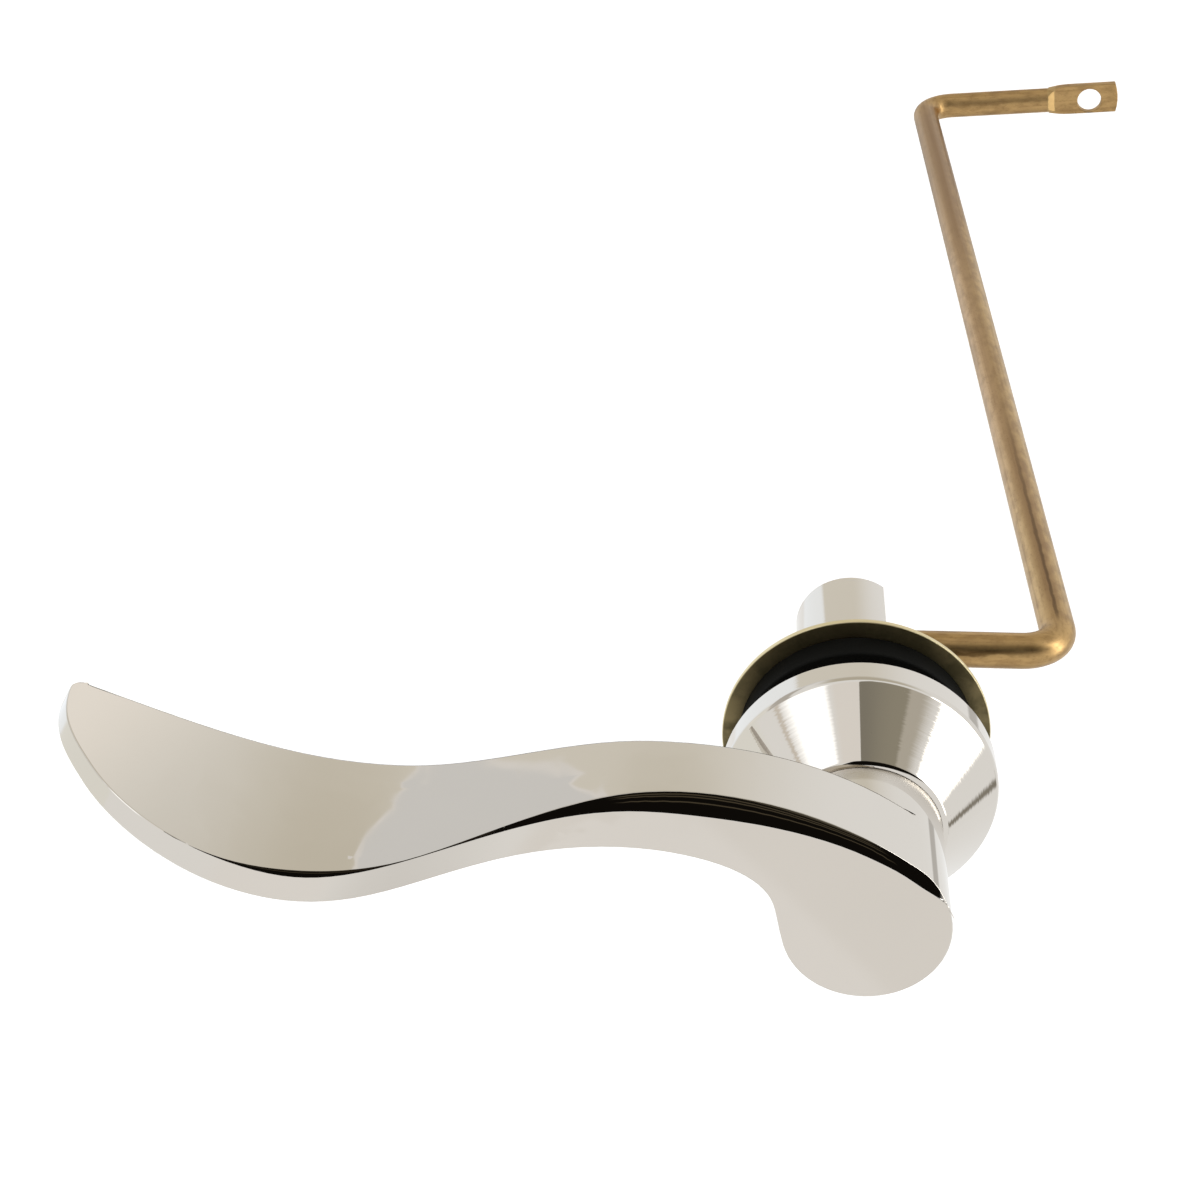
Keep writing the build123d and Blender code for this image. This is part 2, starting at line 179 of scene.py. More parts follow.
def paintBack(tree, way, colour):  # wall, darker ceiling and cool pane behind the object
    behind, lift = way["behind"], way["lift"]
    wall = studio["wall"]
    wallColour = blendColour(tree, rise(tree, lift, *wall["footLift"]), wall["foot"], wall["glow"])
    colour = blendColour(tree, card(tree, behind, lift, wall), colour, wallColour)

    # the ceiling shows in the rounded edges alone
    ceiling = studio["ceiling"]
    mask = window(tree, way["x"], ceiling["across"], ceiling["soft"], ceiling["soft"])
    mask = times(tree, mask, rise(tree, way["y"], *ceiling["back"]), rise(tree, lift, *ceiling["lift"]))
    colour = blendColour(tree, mask, colour, ceiling["glow"])
    lowBack = studio["lowBack"]
    colour = blendColour(tree, card(tree, behind, lift, lowBack), colour, lowBack["glow"])

    # the pane has a thin light border
    pane = studio["pane"]
    colour = blendColour(tree, paneMask(tree, way, pane["borderWidth"]), colour, pane["border"])
    colour = blendColour(tree, paneMask(tree, way, 0.0), colour, pane["glow"])
    hubShade = studio["hubShade"]
    return blendColour(tree, card(tree, behind, lift, hubShade), colour, hubShade["glow"])


def paintCards(tree, way, colour, names):
    for name in names:
        mask = card(tree, way["turn"], way["lift"], studio[name])
        colour = blendColour(tree, mask, colour, studio[name]["glow"])
    return colour


def paintOlive(tree, way, colour):  # dark sector with a rounded upper corner, lighter to the right
    olive = studio["olive"]
    cornerX, cornerY = olive["cornerPlace"]
    aside = sums(tree, "MAXIMUM", sums(tree, "SUBTRACT", cornerX, way["x"]), 0.0)
    above = sums(tree, "MAXIMUM", sums(tree, "SUBTRACT", way["y"], cornerY), 0.0)
    gap = sums(tree, "SQRT", sums(tree, "ADD", sums(tree, "POWER", aside, 2), sums(tree, "POWER", above, 2)))
    soft = olive["cornerSoft"]
    mask = times(tree, card(tree, way["turn"], way["lift"], olive),
                 rise(tree, gap, olive["corner"] - soft, olive["corner"] + soft, 1, 0))
    oliveColour = blendColour(tree, rise(tree, way["turn"], *olive["farTurn"]), olive["glow"], olive["far"])
    return blendColour(tree, mask, colour, oliveColour)


def paintBlack(tree, way, colour):  # dark front under a drooping edge, with faint brown gleams
    dark = studio["black"]
    turn, lift = way["turn"], way["lift"]
    droop = times(tree, sums(tree, "POWER", turn, 2), dark["droop"])
    under = sums(tree, "SUBTRACT", sums(tree, "SUBTRACT", dark["top"], droop), lift)
    mask = rise(tree, under, -dark["topSoft"], dark["topSoft"])
    foot, soft = dark["lift"], dark["liftSoft"]
    mask = times(tree, mask, rise(tree, lift, foot - soft, foot + soft))
    mask = times(tree, mask, window(tree, turn, dark["turn"], *dark["turnSoft"]))
    gleam = studio["gleam"]
    lines = None
    for depth in gleam["under"]:
        away = sums(tree, "ABSOLUTE", sums(tree, "SUBTRACT", under, depth))
        line = rise(tree, away, *gleam["half"], 1, 0)
        lines = line if lines is None else sums(tree, "MAXIMUM", lines, line)
    lines = times(tree, lines, window(tree, turn, gleam["turn"], gleam["turnSoft"], gleam["turnSoft"]))
    darkColour = blendColour(tree, lines, dark["glow"], gleam["glow"])
    return blendColour(tree, mask, colour, darkColour)


def paintFront(tree, way, colour):  # floor right in front, with a slightly darker strip
    front = studio["front"]
    start, full, last, end = front["lift"]
    mask = times(tree, rise(tree, way["lift"], last, end, 1, 0), rise(tree, way["lift"], start, full))
    mask = times(tree, mask, rise(tree, sums(tree, "ABSOLUTE", way["turn"]), *front["turn"], 1, 0))
    slope = sums(tree, "ADD", way["lift"], times(tree, way["turn"], front["stripLean"]))
    edge, soft = front["stripLift"], front["stripSoft"]
    strip = rise(tree, slope, edge - soft, edge + soft)
    frontColour = blendColour(tree, strip, front["glow"], front["strip"])
    return blendColour(tree, mask, colour, frontColour)


def buildStudio():
    world = bpy.data.worlds.new("studio")
    bpy.context.scene.world = world
    world.use_nodes = True
    tree = world.node_tree
    tree.nodes.clear()
    x, y, z = splitParts(tree, addNode(tree, "ShaderNodeTexCoord").outputs["Generated"])
    way = {  # turn counts from the front, behind from the back
        "x": x,
        "y": y,
        "turn": sums(tree, "DEGREES", sums(tree, "ARCTAN2", x, times(tree, y, -1))),
        "behind": sums(tree, "DEGREES", sums(tree, "ARCTAN2", x, y)),
        "lift": sums(tree, "DEGREES", sums(tree, "ARCSINE", z)),
    }
    underside = studio["underside"]
    above = rise(tree, way["lift"], *underside["lift"])
    colour = blendColour(tree, above, underside["glow"], studio["white"])
    colour = paintBack(tree, way, colour)
    firstCards = ("leftGlow", "leftSide", "leftDark", "haze", "boxFrame", "leftBox", "halfDark")
    colour = paintCards(tree, way, colour, firstCards)
    colour = paintOlive(tree, way, colour)
    colour = paintCards(tree, way, colour, ("rightBox", "streak"))
    colour = paintBlack(tree, way, colour)
    colour = paintFront(tree, way, colour)

    # the camera itself sees plain white
    path = addNode(tree, "ShaderNodeLightPath")
    room = addNode(tree, "ShaderNodeBackground", None, {"Color": colour, "Strength": 1.0})
    plain = addNode(tree, "ShaderNodeBackground", None, {"Color": (1, 1, 1), "Strength": 1.0})
    pick = addNode(tree, "ShaderNodeMixShader", None,
                   {0: path.outputs["Is Camera Ray"], 1: room.outputs[0], 2: plain.outputs[0]})
    finishTree(tree, "ShaderNodeOutputWorld", pick)


def stageMaterial(name):
    material = bpy.data.materials.new(name)
    material.use_nodes = True
    material.node_tree.nodes.clear()
    return material, material.node_tree


floorSpec = {"drop": 0.28, "size": 12.0, "colour": (0.8, 0.8, 0.8), "lightUp": 0.42}


def buildFloor():
    bpy.ops.object.select_all(action="DESELECT")
    bpy.ops.mesh.primitive_plane_add(size=floorSpec["size"], location=(0, 0, cadLow.z - floorSpec["drop"]))
    floor = bpy.context.object
    floor.name = "floor"
    floor.visible_glossy = False
    material, tree = stageMaterial("paleFloor")
    path = addNode(tree, "ShaderNodeLightPath")
    paint = addNode(tree, "ShaderNodeBsdfDiffuse", None, {"Color": floorSpec["colour"]})
    seen = sums(tree, "MAXIMUM", path.outputs["Is Camera Ray"], path.outputs["Is Glossy Ray"])
    seen = sums(tree, "MAXIMUM", seen, path.outputs["Is Transmission Ray"])
    glow = addNode(tree, "ShaderNodeEmission", None,
                   {"Color": (1, 1, 1), "Strength": times(tree, seen, floorSpec["lightUp"])})
    both = addNode(tree, "ShaderNodeAddShader", None, {0: paint.outputs[0], 1: glow.outputs[0]})
    clear = addNode(tree, "ShaderNodeBsdfTransparent")
    below = addNode(tree, "ShaderNodeNewGeometry").outputs["Backfacing"]  # clear when seen from below
    oneSided = addNode(tree, "ShaderNodeMixShader", None, {0: below, 1: both.outputs[0], 2: clear.outputs[0]})
    finishTree(tree, "ShaderNodeOutputMaterial", oneSided)
    floor.data.materials.append(material)


tipCardSpec = {
    "place": (-0.0898, 0.0181, 0.0444),
    "behind": 12,
    "lift": 35,
    "size": 0.06,
    "fade": (-0.0165, 0.0085),
    "glow": (1.1, 1.07, 1.02),
}


def buildTipCard():  # soft white card over the handle's tip, seen in reflections alone
    bpy.ops.object.select_all(action="DESELECT")
    bpy.ops.mesh.primitive_plane_add(size=tipCardSpec["size"])
    tipCard = bpy.context.object
    tipCard.name = "tipCard"
    tipCard.visible_camera = False
    tipCard.visible_diffuse = False
    tipCard.visible_shadow = False
    aim = Matrix.Rotation(math.radians(-tipCardSpec["behind"]), 4, "Z")
    aim = aim @ Matrix.Rotation(math.radians(90 + tipCardSpec["lift"]), 4, "X")
    tipCard.matrix_world = Matrix.Translation(tipCardSpec["place"]) @ aim
    material, tree = stageMaterial("softCard")
    across = splitParts(tree, addNode(tree, "ShaderNodeTexCoord").outputs["Object"])[0]
    mask = rise(tree, across, *tipCardSpec["fade"], 1, 0)
    glow = addNode(tree, "ShaderNodeEmission", None, {"Color": tipCardSpec["glow"], "Strength": 1.0})
    clear = addNode(tree, "ShaderNodeBsdfTransparent")
    both = addNode(tree, "ShaderNodeMixShader", None, {0: mask, 1: clear.outputs[0], 2: glow.outputs[0]})
    finishTree(tree, "ShaderNodeOutputMaterial", both)
    tipCard.data.materials.append(material)


cameraSpec = {
    "place": (-0.02106, -0.32659, 0.22927),
    "turn": 3.606,
    "lift": 31.028,
    "roll": -0.509,
    "lens": 73.408,
    "sensor": 36.0,
    "clip": (0.01, 50.0),
}


def buildCamera():
    data = bpy.data.cameras.new("camera")
    data.lens = cameraSpec["lens"]
    data.sensor_width = cameraSpec["sensor"]
    data.clip_start, data.clip_end = cameraSpec["clip"]
    camera = bpy.data.objects.new("camera", data)
    bpy.context.scene.collection.objects.link(camera)
    aim = Matrix.Rotation(math.radians(cameraSpec["turn"]), 4, "Z")
    aim = aim @ Matrix.Rotation(math.radians(90 - cameraSpec["lift"]), 4, "X")
    aim = aim @ Matrix.Rotation(math.radians(cameraSpec["roll"]), 4, "Z")
    camera.matrix_world = Matrix.Translation(cameraSpec["place"]) @ aim
    bpy.context.scene.camera = camera


bpy.context.scene.view_settings.view_transform = "Standard"
buildStudio()
buildFloor()
buildTipCard()
buildCamera()
print("studio, floor and camera ready")


# Finishes

def newFinish(name):
    material = bpy.data.materials.new(name)
    material.use_nodes = True
    tree = material.node_tree
    return material, tree, tree.nodes["Principled BSDF"]


def objectPlace(tree, scale=(1, 1, 1)):
    place = addNode(tree, "ShaderNodeTexCoord").outputs["Object"]
    return addNode(tree, "ShaderNodeMapping", None, {"Vector": place, "Scale": scale}).outputs[0]


def noise(tree, vector, scale, detail=2.0):
    node = addNode(tree, "ShaderNodeTexNoise", None, {"Vector": vector, "Scale": scale, "Detail": detail})
    return node.outputs["Fac"]


def bump(tree, height, distance, normal=None):
    node = addNode(tree, "ShaderNodeBump", None, {"Strength": 1.0, "Distance": distance, "Height": height})
    if normal is not None:
        feed(tree, node, "Normal", normal)
    return node.outputs[0]


def fromAxis(tree):  # distance from the spindle axis, in metres
    x, _, z = splitParts(tree, objectPlace(tree))
    return sums(tree, "SQRT", sums(tree, "ADD", sums(tree, "POWER", x, 2), sums(tree, "POWER", z, 2)))


noiseSpread = (0.3, 0.7)  # where most noise values lie


# in each finish, names that end in Scale are noise scales, and in Depth bump heights in metres
nickelSpec = {
    "colour": (0.68, 0.64, 0.59),
    "mist": (0.655, 0.617, 0.567),
    "mistScale": 45,
    "rough": (0.02, 0.04),
    "roughScale": 160,
    "roughSpread": (0.35, 0.7),
    "waveScale": 60,
    "waveDepth": 0.000001,
    "speckScale": 1700,
    "speckSpread": (0.83, 0.88),
    "speckDepth": 0.0000015,
    "latheScale": (60, 2600, 60),
    "latheDepth": 0.0000042,
    "neck": {"depth": (-0.0195, -0.0158), "radius": (0.0128, 0.0131), "rough": 0.28},
}


def polishedNickel(name, turned):
    spec = nickelSpec
    material, tree, shader = newFinish(name)
    place = objectPlace(tree)
    cloud = noise(tree, place, spec["mistScale"], 3)
    feed(tree, shader, "Base Color", blendColour(tree, cloud, spec["colour"], spec["mist"]))
    feed(tree, shader, "Metallic", 1.0)
    rough = rise(tree, noise(tree, place, spec["roughScale"], 4), *spec["roughSpread"], *spec["rough"])
    if not turned:  # the handle's neck is duller beside the escutcheon's mouth
        neck = spec["neck"]
        near = rise(tree, splitParts(tree, place)[1], *neck["depth"], 0, neck["rough"])
        near = times(tree, near, rise(tree, fromAxis(tree), *neck["radius"], 1, 0))
        rough = sums(tree, "ADD", rough, near)
    feed(tree, shader, "Roughness", rough)
    surface = bump(tree, noise(tree, place, spec["waveScale"], 2), spec["waveDepth"])
    specks = rise(tree, noise(tree, place, spec["speckScale"], 0), *spec["speckSpread"], 1, 0)
    surface = bump(tree, specks, spec["speckDepth"], surface)
    if turned:
        rings = noise(tree, objectPlace(tree, spec["latheScale"]), 1.0, 2)
        surface = bump(tree, rings, spec["latheDepth"], surface)
    feed(tree, shader, "Normal", surface)
    return material


rodLength = 0.2782  # the rod's long leg, from corner to corner

# along: metres from the near corner; after: metres past the far corner; angles: degrees round the rod
brassSpec = {
    "golden": (0.51, 0.33, 0.142),
    "rosy": (0.49, 0.315, 0.165),
    "far": (0.355, 0.218, 0.098),
    "farAlong": (0.15, 0.23),
    "olive": (0.54, 0.365, 0.16),
    "drawnScale": (18, 1500, 1500),
    "blotchScale": (260, 620, 620),
    "grainScale": (1500, 2600, 2600),
    "wobble": 40,
    "longLeg": {"along": (-0.004, 0.02), "after": (-0.02, 0.002)},
    "rosySide": {"angle": (75, 130), "along": (0.02, 0.1), "share": (0.25, 0.8)},
    "streak": {"colour": (0.26, 0.155, 0.065), "drawn": (0.5, 0.8, 0, 0.4), "grain": (0.5, 0.75, 0, 0.3),
               "blotch": (0.38, 0.66, 0, 0.45)},
    # painted dark reflection along the top of the long leg
    "paintedTopReflection": {"colour": (0.27, 0.16, 0.078), "angle": 94, "spread": (6, 46), "share": 0.75,
             "pale": (0.06, 0.1, 0.14, 0.19), "paleShare": 0.4},
    "darkTopLine": {"colour": (0.085, 0.045, 0.02), "angle": 95, "sway": 0.35, "spread": (2, 9), "share": 0.7,
               "along": (0.004, 0.009, 0.02, 0.11)},
    # painted dark reflection low on the front of the near leg and the end leg
    "paintedFrontReflection": {"colour": (0.13, 0.075, 0.027), "angle": 20, "spread": (3, 14),
              "along": (-0.014, -0.003), "share": 0.8,
              "after": (0.006, 0.014, 0.026, 0.033), "afterShare": 0.15},
    # painted highlight on the ramp where the flattened end begins
    "rampHighlight": {"colour": (0.5, 0.34, 0.15), "along": (0.3115, 0.3134), "soft": 0.0003},
    "rough": (0.33, 0.4),
    "endRough": {"after": (-0.006, 0.004), "extra": 0.13},
    "drawnDepth": 0.0000025,
    "grainDepth": 0.000003,
}


def past(span):  # places past the far corner, measured along the rod
    return [rodLength + place for place in span]


def drawnBrass():
    spec = brassSpec
    material, tree, shader = newFinish("drawnBrass")
    rod = addNode(tree, "ShaderNodeAttribute", {"attribute_name": "rodPlace"}).outputs["Vector"]
    along, aside, height = splitParts(tree, rod)

    def rodNoise(scale, detail):
        stretched = addNode(tree, "ShaderNodeMapping", None, {"Vector": rod, "Scale": scale}).outputs[0]
        return noise(tree, stretched, 1.0, detail)

    drawn = rodNoise(spec["drawnScale"], 4)
    blotch = rodNoise(spec["blotchScale"], 4)
    grain = rodNoise(spec["grainScale"], 3)
    angle = sums(tree, "DEGREES", sums(tree, "ARCTAN2", height, times(tree, aside, -1)))
    wobble = times(tree, sums(tree, "SUBTRACT", blotch, 0.5), spec["wobble"])

    def fromAngle(centre, sway):  # degrees round the rod from a wavering line
        return sums(tree, "ABSOLUTE", sums(tree, "ADD", sums(tree, "SUBTRACT", angle, centre), sway))

    # rosier along the long leg, golden on the cross legs
    longLeg = spec["longLeg"]
    onLong = times(tree, rise(tree, along, *longLeg["along"]),
                   rise(tree, along, *past(longLeg["after"]), 1, 0))
    side = spec["rosySide"]
    rosy = times(tree, rise(tree, angle, *side["angle"]), rise(tree, along, *side["along"], *side["share"]))
    tint = blendColour(tree, rosy, spec["olive"], spec["rosy"])
    tint = blendColour(tree, rise(tree, along, *spec["farAlong"]), tint, spec["far"])
    colour = blendColour(tree, onLong, spec["golden"], tint)
    streak = spec["streak"]
    marks = sums(tree, "ADD", rise(tree, drawn, *streak["drawn"]), rise(tree, grain, *streak["grain"]))
    marks = sums(tree, "ADD", marks, rise(tree, blotch, *streak["blotch"]))
    colour = blendColour(tree, marks, colour, streak["colour"])

    # painted reflection: a soft dark band along the top of the long leg, paler about its middle
    paintedTopReflection = spec["paintedTopReflection"]
    mask = rise(tree, fromAngle(paintedTopReflection["angle"], wobble), *paintedTopReflection["spread"], paintedTopReflection["share"], 0)
    mask = times(tree, mask, onLong)
    first, full, last, end = paintedTopReflection["pale"]
    pale = times(tree, rise(tree, along, first, full, 0, paintedTopReflection["paleShare"]),
                 rise(tree, along, last, end, 1, 0))
    mask = times(tree, mask, sums(tree, "SUBTRACT", 1, pale))
    colour = blendColour(tree, mask, colour, paintedTopReflection["colour"])

    # thin dark line along the top of the long leg, near the first bend
    darkTopLine = spec["darkTopLine"]
    sway = times(tree, wobble, darkTopLine["sway"])
    first, full, last, end = darkTopLine["along"]
    mask = rise(tree, fromAngle(darkTopLine["angle"], sway), *darkTopLine["spread"], darkTopLine["share"], 0)
    mask = times(tree, mask, rise(tree, along, first, full), rise(tree, along, last, end, 1, 0))
    colour = blendColour(tree, mask, colour, darkTopLine["colour"])

    # painted reflection: a darker streak low on the front of the near leg, fainter on the end leg
    paintedFrontReflection = spec["paintedFrontReflection"]
    nearLeg = rise(tree, along, *paintedFrontReflection["along"], paintedFrontReflection["share"], 0)
    first, full, last, end = past(paintedFrontReflection["after"])
    endLeg = times(tree, rise(tree, along, first, full, 0, paintedFrontReflection["afterShare"]),
                   rise(tree, along, last, end, 1, 0))
    mask = times(tree, rise(tree, fromAngle(paintedFrontReflection["angle"], wobble), *paintedFrontReflection["spread"], 1, 0),
                 sums(tree, "ADD", nearLeg, endLeg))
    colour = blendColour(tree, mask, colour, paintedFrontReflection["colour"])

    # painted highlight: a brighter strip on the ramp where the flattened end begins
    rampHighlight = spec["rampHighlight"]
    low, high = rampHighlight["along"]
    mask = times(tree, rise(tree, along, low - rampHighlight["soft"], low),
                 rise(tree, along, high, high + rampHighlight["soft"], 1, 0))
    feed(tree, shader, "Base Color", blendColour(tree, mask, colour, rampHighlight["colour"]))

    feed(tree, shader, "Metallic", 1.0)
    endRough = spec["endRough"]
    rough = rise(tree, drawn, *noiseSpread, *spec["rough"])
    extra = rise(tree, along, *past(endRough["after"]), 0, endRough["extra"])
    feed(tree, shader, "Roughness", sums(tree, "ADD", rough, extra))
    surface = bump(tree, drawn, spec["drawnDepth"])
    feed(tree, shader, "Normal", bump(tree, grain, spec["grainDepth"], surface))
    return material


washerSpec = {
    "colour": (0.27, 0.22, 0.115),
    "dark": (0.12, 0.1, 0.05),
    "darkScale": 220,
    "darkSpread": (0.35, 0.65),
    # painted highlight colour along the washer's outer edge
    "rim": (0.74, 0.64, 0.4),
    "rimRadius": (0.022, 0.0222),
    "rough": (0.36, 0.5),
    "grainScale": 900,
    "grainDepth": 0.00001,
}


def washerBrass():
    spec = washerSpec
    material, tree, shader = newFinish("washerBrass")
    place = objectPlace(tree)
    cloud = noise(tree, place, spec["darkScale"], 5)
    colour = blendColour(tree, rise(tree, cloud, *spec["darkSpread"]), spec["colour"], spec["dark"])
    # painted highlight: a bright band at the washer's outer edge
    rimHighlightMask = rise(tree, fromAxis(tree), *spec["rimRadius"])
    feed(tree, shader, "Base Color", blendColour(tree, rimHighlightMask, colour, spec["rim"]))
    feed(tree, shader, "Metallic", 1.0)
    feed(tree, shader, "Roughness", rise(tree, cloud, *noiseSpread, *spec["rough"]))
    feed(tree, shader, "Normal", bump(tree, noise(tree, place, spec["grainScale"], 3), spec["grainDepth"]))
    return material


rubberSpec = {
    "colour": (0.003, 0.003, 0.0026),
    "bloom": (0.007, 0.007, 0.006),
    "bloomScale": 300,
    "rough": (0.62, 0.78),
    "gloss": 0.07,
    "grainScale": 1600,
    "grainDepth": 0.00002,
}


def blackRubber():
    spec = rubberSpec
    material, tree, shader = newFinish("blackRubber")
    place = objectPlace(tree)
    cloud = noise(tree, place, spec["bloomScale"], 4)
    feed(tree, shader, "Base Color", blendColour(tree, cloud, spec["colour"], spec["bloom"]))
    feed(tree, shader, "Roughness", rise(tree, cloud, *noiseSpread, *spec["rough"]))
    feed(tree, shader, "Specular IOR Level", spec["gloss"])
    feed(tree, shader, "Normal", bump(tree, noise(tree, place, spec["grainScale"], 3), spec["grainDepth"]))
    return material


turnedSpec = {
    "colour": (0.5, 0.36, 0.17),
    "dark": (0.38, 0.26, 0.11),
    "ringScale": (20, 2500, 20),
    "ringDepth": 0.000006,
    "rough": (0.22, 0.38),
}


def turnedBrass():
    spec = turnedSpec
    material, tree, shader = newFinish("turnedBrass")
    rings = noise(tree, objectPlace(tree, spec["ringScale"]), 1.0, 3)
    feed(tree, shader, "Base Color", blendColour(tree, rings, spec["colour"], spec["dark"]))
    feed(tree, shader, "Metallic", 1.0)
    feed(tree, shader, "Roughness", rise(tree, rings, *noiseSpread, *spec["rough"]))
    feed(tree, shader, "Normal", bump(tree, rings, spec["ringDepth"]))
    return material


nylonSpec = {"colour": (0.78, 0.77, 0.73), "dark": (0.7, 0.69, 0.64), "scale": 150, "rough": (0.42, 0.56)}


def whiteNylon():
    spec = nylonSpec
    material, tree, shader = newFinish("whiteNylon")
    cloud = noise(tree, objectPlace(tree), spec["scale"], 3)
    feed(tree, shader, "Base Color", blendColour(tree, cloud, spec["colour"], spec["dark"]))
    feed(tree, shader, "Roughness", rise(tree, cloud, *noiseSpread, *spec["rough"]))
    return material


steelSpec = {"colour": (0.16, 0.16, 0.17), "dark": (0.08, 0.08, 0.085), "scale": 500, "rough": (0.32, 0.48)}


def screwSteel():
    spec = steelSpec
    material, tree, shader = newFinish("screwSteel")
    cloud = noise(tree, objectPlace(tree), spec["scale"], 4)
    feed(tree, shader, "Base Color", blendColour(tree, cloud, spec["colour"], spec["dark"]))
    feed(tree, shader, "Metallic", 1.0)
    feed(tree, shader, "Roughness", rise(tree, cloud, *noiseSpread, *spec["rough"]))
    return material


finishes = {
    "handleNickel": polishedNickel("handleNickel", False),
    "latheNickel": polishedNickel("latheNickel", True),
    "drawnBrass": drawnBrass(),
    "washerBrass": washerBrass(),
    "blackRubber": blackRubber(),
    "turnedBrass": turnedBrass(),
    "whiteNylon": whiteNylon(),
    "screwSteel": screwSteel(),
}
print("finishes ready")


# Piece helpers

bodyOf = {name: body for body, names in frame["record"]["behaviour"]["bodies"].items() for name in names}
copySpec = {"merge": 0.000002, "flat": 0.05}  # metres between doubles, degrees between faces in one plane
planeSlack = 0.00001  # how far off a plane an edge may lie and still count as on it


def onlySelect(piece):
    bpy.ops.object.select_all(action="DESELECT")
    piece.select_set(True)
    bpy.context.view_layer.objects.active = piece


def copyNode(nodeName, pieceName):  # merged copy of a CAD node, flat runs of triangles joined into faces
    piece = bpy.data.objects.new(pieceName, frame["nodes"][nodeName].data.copy())
    bpy.context.scene.collection.objects.link(piece)
    onlySelect(piece)
    bpy.ops.mesh.customdata_custom_splitnormals_clear()
    bpy.ops.object.mode_set(mode="EDIT")
    bpy.ops.mesh.select_all(action="SELECT")
    bpy.ops.mesh.remove_doubles(threshold=copySpec["merge"])
    bpy.ops.mesh.mark_sharp(clear=True)
    bpy.ops.mesh.dissolve_limited(angle_limit=math.radians(copySpec["flat"]))
    bpy.ops.mesh.select_mode(type="EDGE")
    bpy.ops.mesh.select_all(action="DESELECT")
    bpy.ops.object.mode_set(mode="OBJECT")
    bpy.ops.object.shade_smooth()
    return piece


def readShape(piece):
    shape = bmesh.new()
    shape.from_mesh(piece.data)
    shape.normal_update()
    return shape


def middle(edge):
    return (edge.verts[0].co + edge.verts[1].co) / 2


def bend(edge):  # angle between the two faces, in degrees
    return math.degrees(edge.calc_face_angle(0.0))


def outer(edge):
    return len(edge.link_faces) == 2 and edge.is_convex


def roundEdges(piece, width, test, segments=3):  # bevels the outer edges that pass the test
    shape = readShape(piece)
    picked = [edge.index for edge in shape.edges if outer(edge) and test(edge)]
    shape.free()
    for index in picked:
        piece.data.edges[index].select = True
    onlySelect(piece)
    bpy.ops.object.mode_set(mode="EDIT")
    bpy.ops.mesh.bevel(offset=width, segments=segments, profile=0.5, affect="EDGES")
    bpy.ops.mesh.select_all(action="DESELECT")
    bpy.ops.object.mode_set(mode="OBJECT")
    print(piece.name, "rounded", len(picked), "edges")


smoothSpec = {
    "bigFace": 0.000001,  # square metres
    "bigAlike": 0.997,  # least cosine between a big face and the CAD surface beside it
    "smallAlike": 0.9995,
    "probe": 0.00003,  # step from a corner into its face
    "probeShare": 0.05,
    "least": 0.000001,  # keeps the step's share finite on tiny faces
    "touch": 0.000002,
    "reach": 0.0003,
    "lean": 0.85,  # least cosine between a corner's normal and its face
}


def smoothLike(piece, nodeName, crown=None):  # gives the piece the CAD node's own normals
    source = frame["nodes"][nodeName].data
    source.calc_loop_triangles()
    triangles = list(source.loop_triangles)
    points = [vertex.co.copy() for vertex in source.vertices]
    surface = BVHTree.FromPolygons(points, [tuple(triangle.vertices) for triangle in triangles])
    normals = [entry.vector.copy() for entry in source.corner_normals]

    def normalAt(spot, number):
        triangle = triangles[number]
        weights = poly_3d_calc([points[corner] for corner in triangle.vertices], spot)
        total = Vector((0, 0, 0))
        for weight, corner in zip(weights, triangle.loops):
            total += normals[corner] * weight
        return total.normalized()

    def cornerNormal(face, vertex):  # from the CAD surface under the corner, or the nearest that faces alike
        inward = face.center - vertex.co
        share = smoothSpec["probe"] / max(inward.length, smoothSpec["least"])
        probe = vertex.co + inward * min(smoothSpec["probeShare"], share)
        normal = vertex.normal.copy()
        if (surface.find_nearest(vertex.co)[0] - vertex.co).length < smoothSpec["touch"]:
            normal = normalAt(vertex.co, surface.find_nearest(probe)[2])
        else:
            alike = smoothSpec["bigAlike"] if face.area > smoothSpec["bigFace"] else smoothSpec["smallAlike"]
            hits = surface.find_nearest_range(probe, smoothSpec["reach"])
            close = [hit for hit in hits if hit[1].dot(face.normal) > alike]
            if close:
                near = min(close, key=lambda hit: hit[3])
                normal = normalAt(near[0], near[2])
        return normal if normal.dot(face.normal) >= smoothSpec["lean"] else face.normal.copy()

    mesh = piece.data
    wanted = []
    for face in mesh.polygons:
        for index in face.loop_indices:
            vertex = mesh.vertices[mesh.loops[index].vertex_index]
            normal = cornerNormal(face, vertex)
            wanted.append(normal if crown is None else crown(face, vertex.co, normal))
    mesh.normals_split_custom_set(wanted)


def fitPiece(piece, nodeName, finish):
    piece.data.materials.clear()
    piece.data.materials.append(finishes[finish])
    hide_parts(nodeName)
    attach(piece, bodyOf[nodeName])


# Handle: rounded edges, wider at the top of the blade's back. Along the facet they follow its width,
# and fade out towards the blade's tip

handleSpec = {
    "edge": 0.00022,
    "edgeBend": 20,
    "backEdge": {"depth": -0.024, "width": 0.0006, "rise": 0.3},
    "facetEdge": 0.0002,
    "facetBend": 18,
    "facetFull": 0.0011,
    "facetCrown": (2.0, -7.5),
    "facetTurn": (-0.8, -0.6),
    "facetRise": 0.2,
    "facetReach": -0.1,
    "facetStart": (-0.053, -0.036),
    "facetEnd": (0.0, 0.008),
}


def facetLike(normal, spot):  # by the way a face points, and its place along the handle
    low, high = handleSpec["facetTurn"]
    return low < normal.y < high and normal.z > handleSpec["facetRise"] and spot.x > handleSpec["facetReach"]


def onFacet(face):
    return facetLike(face.normal, face.calc_center_median())


def facetEdge(edge):
    return bend(edge) > handleSpec["facetBend"] and any(onFacet(face) for face in edge.link_faces)


